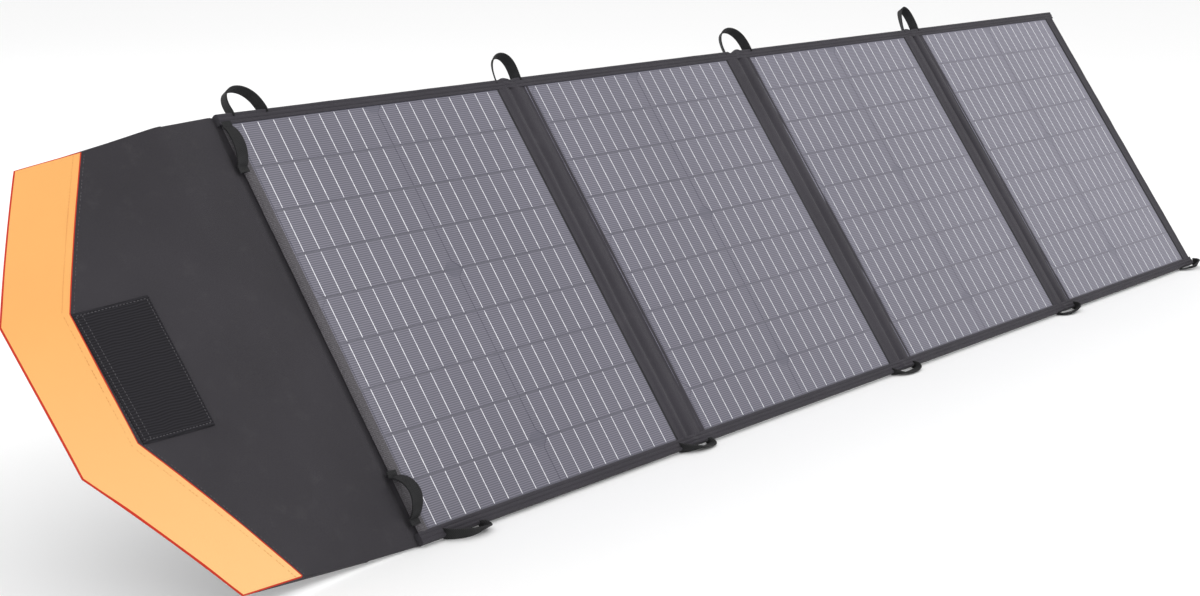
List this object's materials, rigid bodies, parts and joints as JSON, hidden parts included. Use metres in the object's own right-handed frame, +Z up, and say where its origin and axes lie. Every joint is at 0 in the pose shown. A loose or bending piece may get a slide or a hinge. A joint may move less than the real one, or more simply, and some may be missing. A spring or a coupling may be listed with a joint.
{
  "type": "folding solar panel kit",
  "caption": "Folding fabric solar kit standing open: framed panels in a row, a closing flap with a light band, webbing loops, kickstand legs, and a back pocket with a controller box.",
  "frame": {"origin": "middle of the standing kit's bounding box, on the floor", "axes": "+X along the row of panels towards the free end, +Y towards the back, +Z up"},
  "size_m": [1.852, 0.3665, 0.368],
  "materials": {
    "cover_fabric": "fine woven polyester, dark charcoal",
    "border_fabric": "woven polyester border, charcoal",
    "board": "stiff plastic board, hidden",
    "laminate": "glossy textured film laminate",
    "cell": "blue-grey silicon under film",
    "band_fabric": "peach orange woven fabric",
    "piping": "red-orange piping",
    "webbing": "black ribbed webbing",
    "hook_tape": "black hook and loop tape",
    "rubber": "black rubber edge",
    "black_plastic": "moulded black plastic",
    "metal": "nickel-plated metal"
  },
  "bodies": {
    "panel_1": {"cover_1": "cover_fabric", "board_1": "board", "laminate_1": "laminate", "cells_1": "cell", "frame_1": "border_fabric", "loop_top_1": "webbing", "loop_top_2": "webbing", "loop_low_1": "webbing", "loop_low_2": "webbing", "loop_seam_top": "webbing", "loop_seam_low": "webbing", "hinge_12": "border_fabric", "gusset": "cover_fabric", "leg_tape_1": "webbing", "stay_1": "webbing", "pocket": "cover_fabric", "zip_tape": "webbing", "box_base": "black_plastic", "box_lid": "black_plastic", "socket": "black_plastic", "usb_port": "metal"},
    "panel_2": {"cover_2": "cover_fabric", "board_2": "board", "laminate_2": "laminate", "cells_2": "cell", "frame_2": "border_fabric", "loop_top_3": "webbing", "loop_low_3": "webbing", "hinge_23": "border_fabric"},
    "panel_3": {"cover_3": "cover_fabric", "board_3": "board", "laminate_3": "laminate", "cells_3": "cell", "frame_3": "border_fabric", "loop_top_4": "webbing", "loop_low_4": "webbing", "hinge_34": "border_fabric"},
    "panel_4": {"cover_4": "cover_fabric", "board_4": "board", "laminate_4": "laminate", "cells_4": "cell", "frame_4": "border_fabric", "loop_low_5": "webbing", "patch_mate": "hook_tape", "leg_tape_4": "webbing", "stay_4": "webbing"},
    "flap": {"flap_back": "cover_fabric", "flap_board": "board", "flap_front": "cover_fabric", "flap_band": "band_fabric", "flap_piping": "piping", "flap_patch": "hook_tape"},
    "leg_left": {"leg_1": "cover_fabric", "leg_foot_1": "rubber"},
    "leg_right": {"leg_4": "cover_fabric", "leg_foot_4": "rubber"},
    "zip_pull": {"zip_slider": "metal"},
    "push_button": {"button": "black_plastic"}
  },
  "joints": [
    {"name": "fold_12", "type": "hinge", "parent": "panel_1", "child": "panel_2", "pos_m": [-0.26851, -0.03763, 0.17374], "axis": [0, -0.5736, -0.8192], "range_deg": [0, 180], "deforming": ["loop_seam_top", "loop_seam_low"]},
    {"name": "fold_23", "type": "hinge", "parent": "panel_2", "child": "panel_3", "pos_m": [0.12449, -0.03026, 0.16858], "axis": [0, -0.5736, -0.8192], "range_deg": [-180, 0]},
    {"name": "fold_34", "type": "hinge", "parent": "panel_3", "child": "panel_4", "pos_m": [0.51749, -0.03763, 0.17374], "axis": [0, -0.5736, -0.8192], "range_deg": [0, 180]},
    {"name": "flap_fold", "type": "hinge", "parent": "panel_1", "child": "flap", "pos_m": [-0.67601, -0.04992, 0.18235], "axis": [0, 0.5736, 0.8192], "range_deg": [0, 179.5]},
    {"name": "leg_left_fold", "type": "hinge", "parent": "panel_1", "child": "leg_left", "pos_m": [-0.52001, 0.04222, 0.2686], "axis": [-1, 0, 0], "range_deg": [0, 62.5], "deforming": ["stay_1"]},
    {"name": "leg_right_fold", "type": "hinge", "parent": "panel_4", "child": "leg_right", "pos_m": [0.65899, 0.04222, 0.2686], "axis": [-1, 0, 0], "range_deg": [0, 62.5], "deforming": ["stay_4"]},
    {"name": "zip_slide", "type": "slide", "parent": "panel_1", "child": "zip_pull", "axis": [1, 0, 0], "range_m": [0, 0.1]},
    {"name": "button_press", "type": "slide", "parent": "panel_1", "child": "push_button", "axis": [0, -0.8192, 0.5736], "range_m": [0, 0.0015], "stiffness_N_per_m": 300}
  ],
  "couplings": [
    {"joint": "fold_23", "follows": "fold_12", "ratio": -1},
    {"joint": "fold_34", "follows": "fold_12", "ratio": 1}
  ]
}
